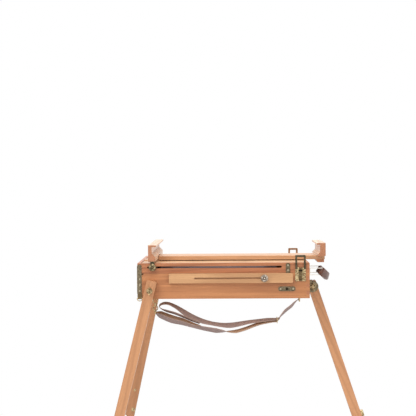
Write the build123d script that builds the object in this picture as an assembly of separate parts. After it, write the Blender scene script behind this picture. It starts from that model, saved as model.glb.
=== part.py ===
from build123d import *
import os
from math import cos, radians, sin, tan

os.makedirs("parts", exist_ok=True)

# A sketch box easel, in millimetres and degrees. While it is modelled, X runs from the box's hinge end
# towards its handle, Y away from the viewer with 0 in the box's middle, and Z up from the box's bottom.
# "Near" is the -Y side. At the end everything moves so that the origin lies centrally under the feet.

# Box.
box_length = 520.0
box_width = 360.0
case_height = 77.0
lid_height = 31.0
wall = 10.0
board = 4.0
seam = 0.3
running = 0.05
clearance = 0.3
finger_count = 7

# Lid hinge and its strap.
hinge_x = 6.0
hinge_below_top = 10.5
hinge_pin_r = 2.5
strap_width = 14.0
strap_thick = 1.8
strap_bottom = 17.0
lid_corner_cut = 5.0
lid_round = 3.0
screw_head_r = 3.0

# Slots in the lid's side walls, for the canvas rest.
slot_start = 30.0
slot_end = box_length - 84.0
slot_height = 6.0
slot_below_top = 12.5

# Canvas rest.
rest_x = 33.0
rest_above_lid = 5.5
rest_height = 49.0
rest_back = 17.0
rest_lip = 24.0
rest_lip_thick = 5.0
rest_ledge_height = 15.0
rest_overhang = 4.0
groove_step = 3.0
rest_bolt_x = rest_x + 12.7
bracket_width = 12.0
bracket_thick = 2.5
knob_r = 11.0
knob_thick = 8.0
stud_r = 2.9

# Mast.
mast_width = 104.0
mast_thick = 13.0
mast_above_lid = 1.0
mast_start = 57.0
mast_end = box_length + 57.0
guide_width = 60.0
tee_neck = 6.4
tee_head = 14.0
tee_lip = 3.0
tee_depth = 8.0
tee_bolts_x = (box_length - 130.0, box_length - 40.0)
tee_bolt_r = 3.0
holder_width = 195.0
holder_x = mast_end - 28.0
holder_height = 40.0
holder_back = 17.0
holder_lip_thick = 5.0
foot_drop = 9.5

# Lid stays.
stay_pin_x = 113.8
stay_z = 62.5
stay_end_pin_x = box_length - 65.3
stay_height = 29.0
stay_thick = 10.9
stay_start = 96.0
stay_end = box_length - 51.0
stay_slot_start = 172.0
stay_slot_end = box_length - 134.0
stay_slot_width = 5.0
stay_gap = 2.1
strip_height = 16.0
strip_thick = 5.0
strip_end_margin = 12.0
stay_knob_x = box_length - 137.0
stay_pin_r = 2.5
stay_head_r = 5.0
hanger_width = 13.0
hanger_thick = 1.8

# Latches.
latch_x = box_length - 43.5
latch_width = 31.5
latch_thick = 1.6
latch_pin_below_top = 17.5
latch_pin_r = 1.5
latch_pin_out = 4.2
bail_length = 40.2
bail_bar = 5.8
bail_thick = 4.3
catch_drop = 25.0

# Keeper plates for the folded front legs.
keeper_x = box_length - 95.0
keeper_length = 52.0
keeper_height = 14.0
keeper_z = 29.0
keeper_thick = 1.5

# Drawer and palette.
drawer_height = case_height - 23.0
drawer_end = box_length - 50.0
drawer_wall = 7.0
runner_height = 2.0
runner_width = 18.0
ledge_width = 10.0
ledge_height = 6.0
palette_thick = 5.0
palette_margin = 2.0
thumb_hole_r = 16.0

# Legs.
bottom_above_floor = 795.0
leg_width = 30.0
leg_thick = 22.0
leg_gap = 2.5
leg_upper = 470.0
leg_top = 30.0
rear_leg_top = 17.0
leg_round = 4.0
lower_width = 20.0
lower_thick = 14.0
leg_travel = 360.0
lower_overlap = 60.0
front_pivot_x = 38.0
front_pivot_z = 26.6
near_leg_lean = 14.0
far_leg_lean = 12.2
rear_pivot_x = box_length + 22.5
rear_pivot_z = 20.0
rear_leg_lean = 18.5
rear_leg_thick = 26.0
leg_bolt_r = 4.0
bolt_head_r = 8.0
bolt_head_thick = 3.0
head_recess = 3.5
plate_below_pivot = leg_upper - 90.0
clamp_below_pivot = leg_upper - 28.0
rear_clamp_below_pivot = leg_upper - 36.0
ear_thick = 2.5
ear_x = box_length + 0.5
ear_bottom = 2.0
ear_top = 39.0
ear_hinge_r = 3.0

# Handle.
handle_pivot_x = box_length + 6.0
handle_pivot_z = 68.0
handle_half = 46.0
handle_wire_r = 1.6
stirrup_thick = 3.2
stirrup_wire = 2.4
stirrup_x = box_length + 11.0
stirrup_bar_x = box_length + 51.0
stirrup_low = 59.6
stirrup_high = 80.6
grip_x = box_length + 46.5
grip_z = 72.0
grip_half = 52.0
grip_out = 20.0
grip_drop = 19.0
grip_tall = 25.0
grip_wide = 16.0

# Shoulder strap, hung under the box's near side.
webbing_width = 25.0
webbing_thick = 2.4
webbing_y = -150.0
strap_left = 52.0
strap_right = box_length - 30.0

# Derived places.
half = box_width / 2
lid_top = case_height + lid_height
hinge_z = lid_top - hinge_below_top
slot_z = lid_top - slot_below_top
rest_z = lid_top + rest_above_lid
mast_z = lid_top + mast_above_lid
mast_top = mast_z + mast_thick
panel_z = lid_top - board - 2.0
rest_bolt_z = slot_z
latch_pin_z = lid_top - latch_pin_below_top
front_leg_y = half + leg_gap

nodes = {}


def save(name, *pieces):
    """Keep a node's solids until the whole easel is placed and written."""
    nodes[name] = [solid for piece in pieces for solid in piece.solids()]


def block(x0, x1, y0, y1, z0, z1):
    """A box between two corners."""
    return Pos((x0 + x1) / 2, (y0 + y1) / 2, (z0 + z1) / 2) * Box(abs(x1 - x0), abs(y1 - y0), abs(z1 - z0))


def rod_x(x0, x1, y, z, radius):
    """A cylinder along X."""
    return Pos((x0 + x1) / 2, y, z) * Rot(0, 90, 0) * Cylinder(radius, abs(x1 - x0))


def rod_y(x, y0, y1, z, radius):
    """A cylinder along Y."""
    return Pos(x, (y0 + y1) / 2, z) * Rot(90, 0, 0) * Cylinder(radius, abs(y1 - y0))


def rod_z(x, y, z0, z1, radius):
    """A cylinder along Z."""
    return Pos(x, y, (z0 + z1) / 2) * Cylinder(radius, abs(z1 - z0))


def side_slab(face, y0, y1):
    """Extrude a face drawn in X and Z from y0 to y1."""
    placed = Plane.XZ.offset(-max(y0, y1)) * face
    return extrude(placed, amount=abs(y1 - y0))


def outline(*points):
    """A face with straight edges through the points."""
    return make_face(Polyline(*points, close=True))


def far_copy(piece):
    """The same piece on the far side."""
    return mirror(piece, Plane.XZ)


def save_pair(name, *pieces):
    """Keep near pieces and their far copies in one node."""
    save(name, *pieces, *[far_copy(piece) for piece in pieces])


def save_sides(name, *pieces):
    """Keep near pieces and their far copies in a node for each side."""
    save(name + "_near", *pieces)
    save(name + "_far", *[far_copy(piece) for piece in pieces])


def case_walls():
    """Side walls and right end wall meet in fingers; a rail closes the left end above the drawer."""
    side = block(0, box_length, -half, -half + wall, 0, case_height)
    end = block(box_length - wall, box_length, -half, half, 0, case_height)
    finger = case_height / finger_count
    for index in range(finger_count):
        low = index * finger
        cut = block(box_length - wall, box_length, -half, -half + wall, low, low + finger)
        if index % 2:
            side -= cut
        else:
            end -= cut
            end -= far_copy(cut)
    inside = -half + wall
    side -= rod_y(stay_pin_x, -half, inside, stay_z, stay_pin_r)
    side -= rod_y(stay_pin_x, inside - head_recess, inside, stay_z, stay_head_r)
    side -= rod_y(front_pivot_x, -half, inside, front_pivot_z, leg_bolt_r + running)
    side -= rod_y(front_pivot_x, inside - head_recess, inside, front_pivot_z, bolt_head_r + clearance)
    bevel = outline((-1, case_height + 1), (-1, case_height - 17.7), (21.8, case_height + 1))
    side -= side_slab(bevel, -half, -half + wall)
    rail_bottom = runner_height + board + drawer_height + 2 * clearance
    rail = block(0, wall, -half + wall, half - wall, rail_bottom, case_height)
    save_pair("case_side_walls", side)
    save("case_end_walls", end, rail)
    save("case_bottom", block(0, box_length - wall, -half + wall, half - wall, 0, board))
    ledge_top = case_height - palette_margin - palette_thick
    runner = block(wall, drawer_end, -half + wall, -half + wall + runner_width, board, board + runner_height)
    ledge = block(wall, box_length - wall, -half + wall, -half + wall + ledge_width,
                  ledge_top - ledge_height, ledge_top)
    save_pair("case_ledges", runner, ledge)


def palette():
    """A board that lies on the case's ledges, with a thumb hole."""
    low = case_height - palette_margin - palette_thick
    inner = half - wall - clearance
    body = block(wall + clearance, box_length - wall - clearance, -inner, inner, low, low + palette_thick)
    corners = body.edges().filter_by(Axis.Z)
    body = fillet(corners, 12.0)
    hole = rod_z(box_length - 110.0, -inner + 75.0, low, low + palette_thick, thumb_hole_r)
    save("palette", body - hole)


def drawer():
    """A drawer that opens at the hinge end, with a turned knob on its front."""
    low = board + runner_height + clearance
    high = low + drawer_height
    inner = half - wall - clearance
    middle = low + drawer_height / 2
    front = block(0, wall, -inner, inner, board + clearance, high)
    turned = Pos(-8, 0, middle) * Sphere(9.0)
    neck = rod_x(-6, 0, 0, middle, 5.0)
    side = block(wall, drawer_end, -inner, -inner + drawer_wall, low, high)
    back = block(drawer_end - drawer_wall, drawer_end, -inner + drawer_wall, inner - drawer_wall, low, high)
    floor = block(wall, drawer_end - drawer_wall, -inner + drawer_wall, inner - drawer_wall, low, low + board)
    bay = box_width / 6
    first = block(wall, drawer_end - drawer_wall, -bay - 2.5, -bay + 2.5, low + board, high - 8)
    cross = block(drawer_end / 2 - 2.5, drawer_end / 2 + 2.5, -bay + 2.5, bay - 2.5, low + board, high - 8)
    save("drawer_front", front + neck + turned)
    save("drawer_walls", side, far_copy(side), back)
    save("drawer_bottom", floor)
    save("drawer_dividers", first, far_copy(first), cross)


def lid():
    """A shallow frame with a panel: its side walls are slotted and its hinge end is bevelled."""
    low = case_height + seam
    bevel = lid_corner_cut
    section = outline((0, low + bevel), (bevel, low), (box_length, low), (box_length, lid_top), (0, lid_top))
    section = fillet(max(section.vertices(), key=lambda corner: corner.X + corner.Y), lid_round)
    side = side_slab(section, -half, -half + wall)
    middle = (slot_start + slot_end) / 2
    slot = make_face(SlotOverall(slot_end - slot_start, slot_height).edges())
    side -= Pos(middle, 0, slot_z) * side_slab(slot, -half, -half + wall)
    side -= rod_y(hinge_x, -half, -half + wall, hinge_z, hinge_pin_r + running)
    inner = half - wall
    left = side_slab(section, -inner, inner) & block(0, wall, -inner, inner, low, lid_top)
    right = side_slab(section, -inner, inner)
    right &= block(box_length - wall, box_length, -inner, inner, low, lid_top)
    panel = block(wall, box_length - wall, -inner, inner, panel_z, panel_z + board)
    guide = block(wall, box_length - wall, -guide_width / 2, guide_width / 2,
                  panel_z + board, mast_z - clearance)
    for bolt_x in tee_bolts_x:
        hole = rod_z(bolt_x, 0, panel_z, mast_z, tee_bolt_r + running)
        panel -= hole
        guide -= hole
    save_pair("lid_side_walls", side)
    save("lid_end_walls", left, right)
    save("lid_panel", panel)
    save("mast_guide", guide)


def hinge_straps():
    """Brass straps fixed to the case, each with a pin that the lid turns on."""
    outer = -half - strap_thick
    top = hinge_z + strap_width / 2
    body = block(hinge_x - strap_width / 2, hinge_x + strap_width / 2, outer, -half, strap_bottom, top)
    body = fillet(body.edges().filter_by(Axis.Y).group_by(Axis.Z)[-1], strap_width / 2 - 0.5)
    body += rod_y(hinge_x, -half - strap_thick - 1.5, -half + wall - clearance, hinge_z, hinge_pin_r)
    body += rod_y(hinge_x, outer - 1.5, outer, hinge_z, hinge_pin_r + 1.5)
    heads = [rod_y(hinge_x, outer - 0.3, outer, z, screw_head_r) for z in (24.8, 42.4, 60.2)]
    save_pair("hinge_straps", body, *heads)


def grooved_holder(x_back, z_low, height, back, lip_depth, lip_thick, ledge_depth, ledge_height, facing):
    """The outline of a canvas holder: a back, a top lip and a stepped ledge. facing is +1 towards +X."""
    def at(depth, rise):
        return (x_back + facing * depth, z_low + rise)
    points = [at(0, 0), at(ledge_depth, 0)]
    rise = ledge_height
    depth = ledge_depth
    points.append(at(depth, rise))
    while depth - groove_step > back:
        points.append(at(depth - groove_step, rise))
        rise += groove_step
        depth -= groove_step
        points.append(at(depth, rise))
    points.append(at(back, rise))
    points.append(at(back, height - lip_thick))
    points.append(at(lip_depth, height - lip_thick))
    points.append(at(lip_depth, height))
    points.append(at(0, height))
    return outline(*points)


def canvas_rest():
    """The lower canvas holder, which straddles the mast and slides along the lid's slots."""
    reach = half + rest_overhang
    face = grooved_holder(rest_x, rest_z, rest_height, rest_back - groove_step * 2, rest_lip,
                          rest_lip_thick, rest_lip - 2, rest_ledge_height, 1)
    body = side_slab(face, -reach, reach)
    notch = mast_width / 2 + 1
    body -= block(rest_x - 1, rest_x + rest_lip + 1, -notch, notch, rest_z - 1, mast_top + 1)
    save("canvas_rest", body)
    outer = -half - clearance - bracket_thick
    neck = block(rest_bolt_x - bracket_width / 2, rest_bolt_x + bracket_width / 2,
                 outer, -half - clearance, rest_bolt_z - 7, rest_z)
    flange = block(rest_bolt_x - 10, rest_bolt_x + 10, outer, -half + 16, rest_z - 1.6, rest_z)
    neck += flange
    neck -= rod_y(rest_bolt_x, outer, -half, rest_bolt_z, stud_r + running)
    nut_y = -half + wall + clearance
    nut = block(rest_bolt_x - 12, rest_bolt_x + 12, nut_y, nut_y + 3, rest_bolt_z - 6, rest_bolt_z + 6)
    nut -= rod_y(rest_bolt_x, nut_y, nut_y + 3, rest_bolt_z, stud_r + running)
    save_pair("rest_brackets", neck, nut)
    save_sides("rest_knob", stud_knob(rest_bolt_x, rest_bolt_z, outer, nut_y + 4, stud_r))


def stud_knob(x, z, seat_y, end_y, radius):
    """A round knurled knob outside seat_y, with its stud running in to end_y."""
    face_y = seat_y - clearance
    head = rod_y(x, face_y - knob_thick, face_y, z, knob_r)
    head = chamfer(head.edges().group_by(Axis.Y)[0], 1.2)
    flutes = 16
    for index in range(flutes):
        turn = radians(360.0 / flutes * index)
        head -= rod_y(x + (knob_r + 0.5) * cos(turn), face_y - knob_thick, face_y,
                      z + (knob_r + 0.5) * sin(turn), 1.2)
    head -= rod_y(x, face_y - knob_thick, face_y - knob_thick + 1.5, z, knob_r * 0.55)
    return head + rod_y(x, face_y, end_y, z, radius)


def mast():
    """A board held to the lid by two tee bolts in its grooved underside, with the upper canvas holder."""
    body = block(mast_start, mast_end, -mast_width / 2, mast_width / 2, mast_z, mast_top)
    body = chamfer(body.edges().filter_by(Axis.X).group_by(Axis.Z)[-1], 1.5)
    tee_end = holder_x - 10
    body -= block(mast_start, tee_end, -tee_neck / 2, tee_neck / 2, mast_z, mast_z + tee_lip)
    body -= block(mast_start, tee_end, -tee_head / 2, tee_head / 2, mast_z + tee_lip, mast_z + tee_depth)
    save("mast_board", body)
    foot_low = mast_z - foot_drop
    foot_end = mast_end - 2
    foot = outline((holder_x, mast_z), (foot_end, mast_z), (foot_end, foot_low), (holder_x + 6, foot_low))
    save("mast_foot", side_slab(foot, -mast_width / 2, mast_width / 2))
    face = grooved_holder(mast_end - 1, mast_top, holder_height, holder_back, mast_end - 1 - holder_x,
                          holder_lip_thick, mast_end - 1 - holder_x, 3.0, -1)
    save("upper_holder", side_slab(face, -holder_width / 2, holder_width / 2))
    bolts = []
    for bolt_x in tee_bolts_x:
        shank = rod_z(bolt_x, 0, panel_z - 8, mast_z + tee_lip + clearance, tee_bolt_r)
        head_low = mast_z + tee_lip + clearance
        head_half = tee_head / 2 - clearance
        head = block(bolt_x - head_half, bolt_x + head_half, -head_half, head_half, head_low, head_low + 3)
        bolts.append(shank + head)
    collar = rod_z(tee_bolts_x[0], 0, panel_z - 4, panel_z, 8.0)
    bolts[0] += collar
    save("mast_bolts", *bolts)
    top = panel_z - clearance
    knob = rod_z(tee_bolts_x[1], 0, top - 9, top, knob_r)
    knob -= rod_z(tee_bolts_x[1], 0, top - 9, top, tee_bolt_r + running)
    for index in range(6):
        turn = radians(60 * index)
        reach = knob_r + 1.5
        knob -= rod_z(tee_bolts_x[1] + reach * cos(turn), reach * sin(turn), top - 9, top, 3.0)
    save("mast_knob", knob)


def stays():
    """Each lid stay is a slotted bar that slides over a strip; the strip turns on a pin in the case."""
    inner_y = -half - stay_gap
    outer_y = inner_y - stay_thick
    groove = strip_thick + clearance
    low = stay_z - stay_height / 2
    bar = block(stay_start, stay_end, outer_y, inner_y, low, low + stay_height)
    bar = fillet(bar.edges().filter_by(Axis.Y).group_by(Axis.X)[-1], 4.0)
    groove_half = strip_height / 2 + clearance
    bar -= block(stay_start, stay_end - 32, inner_y - groove, inner_y,
                 stay_z - groove_half, stay_z + groove_half)
    slot = make_face(SlotOverall(stay_slot_end - stay_slot_start, stay_slot_width).edges())
    bar -= Pos((stay_slot_start + stay_slot_end) / 2, 0, stay_z) * side_slab(slot, outer_y, inner_y)
    bar -= rod_y(stay_end_pin_x, inner_y - 8, inner_y, stay_z, stay_pin_r)
    save_sides("stay_outer", bar)
    save_sides("stay_rivet", rod_y(stay_end_pin_x, inner_y - 8, inner_y, stay_z, stay_pin_r))
    strip = block(stay_pin_x - strip_height / 2, stay_knob_x + strip_end_margin,
                  inner_y - strip_thick, inner_y, stay_z - strip_height / 2, stay_z + strip_height / 2)
    strip = fillet(strip.edges().filter_by(Axis.Y), strip_height / 2 - 0.5)
    strip -= rod_y(stay_pin_x, inner_y - strip_thick, inner_y, stay_z, stay_pin_r + running)
    knob_stud = stay_slot_width / 2 - 0.1
    strip -= rod_y(stay_knob_x, inner_y - strip_thick, inner_y, stay_z, knob_stud + running)
    save_sides("stay_inner", strip)
    save_sides("stay_knob", stud_knob(stay_knob_x, stay_z, outer_y, inner_y - clearance, knob_stud))
    pin = rod_y(stay_pin_x, inner_y - strip_thick, -half + wall - head_recess, stay_z, stay_pin_r)
    pin += rod_y(stay_pin_x, -half - stay_gap + 0.1, -half, stay_z, 6.0)
    pin += rod_y(stay_pin_x, -half + wall - head_recess, -half + wall - 0.5, stay_z, stay_head_r)
    save_pair("stay_pivots", pin)
    hanger_y = -half - hanger_thick
    left = stay_end_pin_x - hanger_width / 2
    right = left + hanger_width
    hanger = block(left, right, hanger_y, -half, stay_z - hanger_width / 2, lid_top - 1)
    hanger = fillet(hanger.edges().filter_by(Axis.Y), hanger_width / 2 - 0.5)
    hanger -= block(left - 1, right + 1, -half - clearance, -half, 0, case_height + seam)
    screws = []
    for z in (lid_top - 8, lid_top - 23):
        countersink = rod_y(stay_end_pin_x, hanger_y, -half, z, screw_head_r)
        hanger -= countersink
        screws.append(countersink)
    save_pair("stay_hangers", hanger, *screws)


def latches():
    """A bail on the lid's plate swings down over the catch on the case."""
    plate_y = -half - latch_thick
    pin_y = -half - latch_pin_out
    right = latch_x + latch_width
    eye_r = 2.3
    inset = bail_bar + 0.5
    plate = block(latch_x, right, plate_y, -half, case_height + seam, latch_pin_z + eye_r + 0.5)
    boss = rod_x(latch_x + inset, right - inset, pin_y, latch_pin_z, eye_r)
    boss += block(latch_x + inset, right - inset, pin_y, plate_y, latch_pin_z - eye_r, latch_pin_z + eye_r)
    window = block(latch_x + 10, right - 10, plate_y, -half, case_height + 4, case_height + 9)
    pin = rod_x(latch_x + 0.5, right - 0.5, pin_y, latch_pin_z, latch_pin_r)
    save_pair("latch_plates", plate - window + boss + pin)
    catch_low = case_height - catch_drop
    catch = block(latch_x, right, plate_y, -half, catch_low, case_height)
    hook_low = latch_pin_z - bail_length + bail_bar + 1
    profile = ((0, 0), (0, 5), (2.5, 5), (4.2, 7), (4.2, 3))
    hook = outline(*[(plate_y - depth, hook_low + rise) for depth, rise in profile])
    hook_face = Plane.YZ.offset(latch_x + 9) * hook
    catch += extrude(hook_face, amount=latch_width - 18)
    for z in (catch_low + 5, case_height - 4):
        catch -= rod_y(latch_x + 5, plate_y, -half, z, 1.6)
        catch -= rod_y(right - 5, plate_y, -half, z, 1.6)
    save_pair("latch_catches", catch)
    bail_y0 = pin_y - bail_thick / 2
    bail_y1 = pin_y + bail_thick / 2
    arm = block(latch_x, latch_x + bail_bar, bail_y0, bail_y1, latch_pin_z, latch_pin_z + bail_length)
    arm += rod_x(latch_x, latch_x + bail_bar, pin_y, latch_pin_z, eye_r)
    other = Pos(latch_width - bail_bar, 0, 0) * arm
    cross = block(latch_x, right, bail_y0, bail_y1,
                  latch_pin_z + bail_length - bail_bar, latch_pin_z + bail_length)
    bail = arm + other + cross
    outer_corners = bail.edges().filter_by(Axis.Y).group_by(Axis.Z)[-1]
    bail = fillet(outer_corners, 3.0)
    bail -= rod_x(latch_x, right, pin_y, latch_pin_z, latch_pin_r + running)
    save_sides("latch_bail", bail)


def keepers():
    """Plates on the side walls with a hole that takes the folded leg's screw."""
    outer = -half - keeper_thick
    plate = block(keeper_x, keeper_x + keeper_length, outer, -half,
                  keeper_z - keeper_height / 2, keeper_z + keeper_height / 2)
    plate = fillet(plate.edges().filter_by(Axis.Y), keeper_height / 2 - 0.5)
    plate -= rod_y(keeper_x + keeper_length / 2, outer, -half, keeper_z, 4.0)
    screws = []
    for x in (keeper_x + 7, keeper_x + keeper_length - 7):
        countersink = rod_y(x, outer, -half, keeper_z, 2.6)
        plate -= countersink
        screws.append(countersink)
    save_pair("keeper_plates", plate, *screws)


def leg_length(lean, pivot_z):
    """From the pivot to the floor along a leaning leg."""
    return (bottom_above_floor + pivot_z) / cos(radians(lean))


def place_leg(piece, lean, pivot_x, pivot_z, side):
    """Swing a leg drawn straight down from its pivot so that its foot moves to side, then place it."""
    return Pos(pivot_x, 0, pivot_z) * Rot(0, -side * lean, 0) * piece


def lower_leg(lean, pivot_z, y0, y1, foot_side):
    """The sliding lower leg, drawn under the pivot, cut level at the floor."""
    reach = leg_length(lean, pivot_z) + 20
    top = -(leg_upper - lower_overlap)
    body = block(-lower_width / 2, lower_width / 2, y0, y1, -reach, top)
    level = leg_length(lean, pivot_z)
    rise = tan(radians(lean)) * 60 * foot_side
    below = outline((-60, -level + rise), (60, -level - rise), (60, -level - 80), (-60, -level - 80))
    return body - side_slab(below, min(y0, y1) - 5, max(y0, y1) + 5)


def wing_nut(x, z, seat_y, end_y):
    """A wing nut outside seat_y on its bolt, which runs in to a head at end_y."""
    outer = seat_y - clearance
    nut = rod_y(x, outer - 2, outer, z, 9.0)
    nut += rod_y(x, outer - 9, outer, z, 6.0)
    wing = [(-2, -6), (-5, -11), (-9, -12.5), (-13, -11.5), (-13, -8.5), (-9, -5)]
    edge = wing + [(y, -rise) for y, rise in reversed(wing)]
    blade = outline(*[(outer + y, z + rise) for y, rise in edge])
    nut += extrude(Plane.YZ.offset(x - 2) * blade, amount=4)
    bolt = rod_y(x, outer - 11, end_y, z, leg_bolt_r)
    head = rod_y(x, end_y, end_y + bolt_head_thick, z, bolt_head_r)
    return nut + bolt + head


def upper_leg(above, y0, y1):
    """A leg drawn straight down from its pivot, with rounded top corners and a pocket for the lower leg."""
    body = block(-leg_width / 2, leg_width / 2, y0, y1, -leg_upper, above)
    body = fillet(body.edges().filter_by(Axis.Y).group_by(Axis.Z)[-1], leg_round)
    body -= rod_y(0, y0, y1, 0, leg_bolt_r + running)
    across = lower_width / 2 + clearance
    depth = lower_thick / 2 + clearance
    middle = (y0 + y1) / 2
    pocket_top = lower_overlap - leg_upper + leg_travel + 10
    return body - block(-across, across, middle - depth, middle + depth, -leg_upper, pocket_top)


def front_leg(name, lean, far):
    """An upper leg beside the wall, its sliding lower leg, and the fittings on its inner face."""
    inner_y = -front_leg_y
    outer_y = inner_y - leg_thick
    middle = (inner_y + outer_y) / 2
    body = upper_leg(leg_top, outer_y, inner_y)
    body -= rod_y(0, outer_y, middle, -clamp_below_pivot, stud_r + running)
    lower = lower_leg(lean, front_pivot_z, middle - lower_thick / 2, middle + lower_thick / 2, -1)
    screw = rod_y(0, inner_y, inner_y + 1.2, -plate_below_pivot, screw_head_r + 1)
    plate = block(2, 14, inner_y, inner_y + 1.2, -clamp_below_pivot - 10, -clamp_below_pivot + 2)
    seat = stud_knob(0, -clamp_below_pivot, outer_y, middle - lower_thick / 2 - clearance, stud_r)
    pieces = {
        "leg_" + name: [body],
        "leg_lower_" + name: [lower],
        "leg_plates_" + name: [screw, plate],
        "leg_clamp_" + name: [seat],
    }
    for node, solids in pieces.items():
        placed = [place_leg(solid, lean, front_pivot_x, front_pivot_z, -1) for solid in solids]
        save(node, *[far_copy(solid) if far else solid for solid in placed])
    nut = wing_nut(front_pivot_x, front_pivot_z, outer_y, -half + wall - head_recess)
    save("leg_nut_" + name, far_copy(nut) if far else nut)


def rear_leg():
    """The rear leg hangs in a hinged bracket under the handle and clamps from its back."""
    half_thick = rear_leg_thick / 2
    body = upper_leg(rear_leg_top, -half_thick, half_thick)
    body -= rod_x(0, leg_width / 2, 0, -rear_clamp_below_pivot, stud_r + running)
    lower = lower_leg(rear_leg_lean, rear_pivot_z, -lower_thick / 2, lower_thick / 2, 1)
    clamp_end = -lower_width / 2 - clearance
    clamp = Rot(0, 0, 90) * stud_knob(0, -rear_clamp_below_pivot, -leg_width / 2, clamp_end, stud_r)
    save("leg_rear", place_leg(body, rear_leg_lean, rear_pivot_x, rear_pivot_z, 1))
    save("leg_lower_rear", place_leg(lower, rear_leg_lean, rear_pivot_x, rear_pivot_z, 1))
    save("leg_clamp_rear", place_leg(clamp, rear_leg_lean, rear_pivot_x, rear_pivot_z, 1))
    ear_y = -half_thick - clearance
    outer_y = ear_y - ear_thick
    ear = block(ear_x + clearance, rear_pivot_x, outer_y, ear_y, ear_bottom, ear_top)
    ear += rod_y(rear_pivot_x, outer_y, ear_y, rear_pivot_z, (ear_top - ear_bottom) / 2 - 1)
    ear -= rod_y(rear_pivot_x, outer_y, ear_y, rear_pivot_z, leg_bolt_r + running)
    web = block(ear_x + clearance, ear_x + clearance + ear_thick, outer_y, -outer_y, ear_bottom, ear_top)
    hinge_x_rear = ear_x + clearance + ear_hinge_r
    barrel = rod_y(hinge_x_rear, outer_y, -outer_y, ear_bottom - 1, ear_hinge_r)
    bore = rod_y(hinge_x_rear, outer_y, -outer_y, ear_bottom - 1, 1.5 + running)
    save("rear_bracket", ear + far_copy(ear) + web + barrel - bore)
    lug_y = outer_y - clearance
    pin = rod_y(hinge_x_rear, lug_y - 6, -lug_y + 6, ear_bottom - 1, 1.5)
    lug = rod_y(hinge_x_rear, lug_y - 6, lug_y, ear_bottom - 1, ear_hinge_r)
    lug += block(box_length, hinge_x_rear, lug_y - 6, lug_y, ear_bottom - 1 - ear_hinge_r, ear_bottom + 14)
    save("rear_hinge", lug + far_copy(lug) + pin)
    nut = wing_nut(rear_pivot_x, rear_pivot_z, outer_y, -outer_y + clearance)
    save("leg_nut_rear", nut)


def handle():
    """A bowed leather grip between two wire stirrups that turn on brackets at the box's end."""
    y = handle_half
    plates = []
    for side in (-1, 1):
        middle = side * (y + 6)
        plate = block(box_length, box_length + 2, middle - 9, middle + 9,
                      handle_pivot_z - 17, case_height - 1)
        eye = block(box_length + 2, handle_pivot_x + 3, middle - 2, middle + 2,
                    handle_pivot_z - 3.2, handle_pivot_z + 3.2)
        eye += rod_y(handle_pivot_x, middle - 2, middle + 2, handle_pivot_z, 3.2)
        pin = rod_y(handle_pivot_x, side * (y - 2), middle, handle_pivot_z, handle_wire_r)
        plates.append(plate + eye + pin)
    save("handle_mounts", *plates)
    stirrups = []
    wire = stirrup_wire / 2
    for side in (-1, 1):
        y0 = side * y - stirrup_thick / 2
        y1 = side * y + stirrup_thick / 2
        loop = rod_y(handle_pivot_x, y0, y1, handle_pivot_z, 3.4)
        loop += block(handle_pivot_x, stirrup_x, y0, y1, handle_pivot_z - wire, handle_pivot_z + wire)
        for x in (stirrup_x, stirrup_bar_x):
            loop += block(x - wire, x + wire, y0, y1, stirrup_low - wire, stirrup_high + wire)
        for z in (stirrup_low, stirrup_high):
            loop += block(stirrup_x, stirrup_bar_x, y0, y1, z - wire, z + wire)
        loop -= rod_y(handle_pivot_x, y0, y1, handle_pivot_z, handle_wire_r + running)
        stirrups.append(loop)
    save("handle_stirrups", *stirrups)
    path = ThreePointArc((grip_x, -grip_half, grip_z), (grip_x + grip_out, 0, grip_z - grip_drop),
                         (grip_x, grip_half, grip_z))
    start = Plane(origin=path @ 0, x_dir=(0, 0, 1), z_dir=path % 0)
    grip = sweep(start * RectangleRounded(grip_tall, grip_wide, 5.5), path=path)
    for side in (-1, 1):
        slit = stirrup_thick / 2 + clearance
        grip -= block(stirrup_x, stirrup_bar_x + wire + clearance, side * y - slit, side * y + slit,
                      stirrup_low - wire - clearance, stirrup_high + wire + clearance)
    save("handle_grip", grip)


def ribbon(points, thickness):
    """A band of webbing: a smooth line through the points, given its thickness and width."""
    line = Spline(*points)
    steps = 3 * len(points)
    upper = []
    lower = []
    for index in range(steps + 1):
        spot = line @ (index / steps)
        tangent = line % (index / steps)
        normal = Vector(-tangent.Y, tangent.X, 0)
        upper.append(spot + normal * thickness / 2)
        lower.append(spot - normal * thickness / 2)
    edges = [Spline(*upper), Line(upper[-1], lower[-1]), Spline(*reversed(lower)), Line(lower[0], upper[0])]
    face = make_face(edges)
    return side_slab(face, webbing_y - webbing_width / 2, webbing_y + webbing_width / 2)


def strap_line(spots):
    """Places between the strap's two ends, from shares of their distance and heights."""
    return [(strap_left + share * (strap_right - strap_left), z) for share, z in spots]


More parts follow.
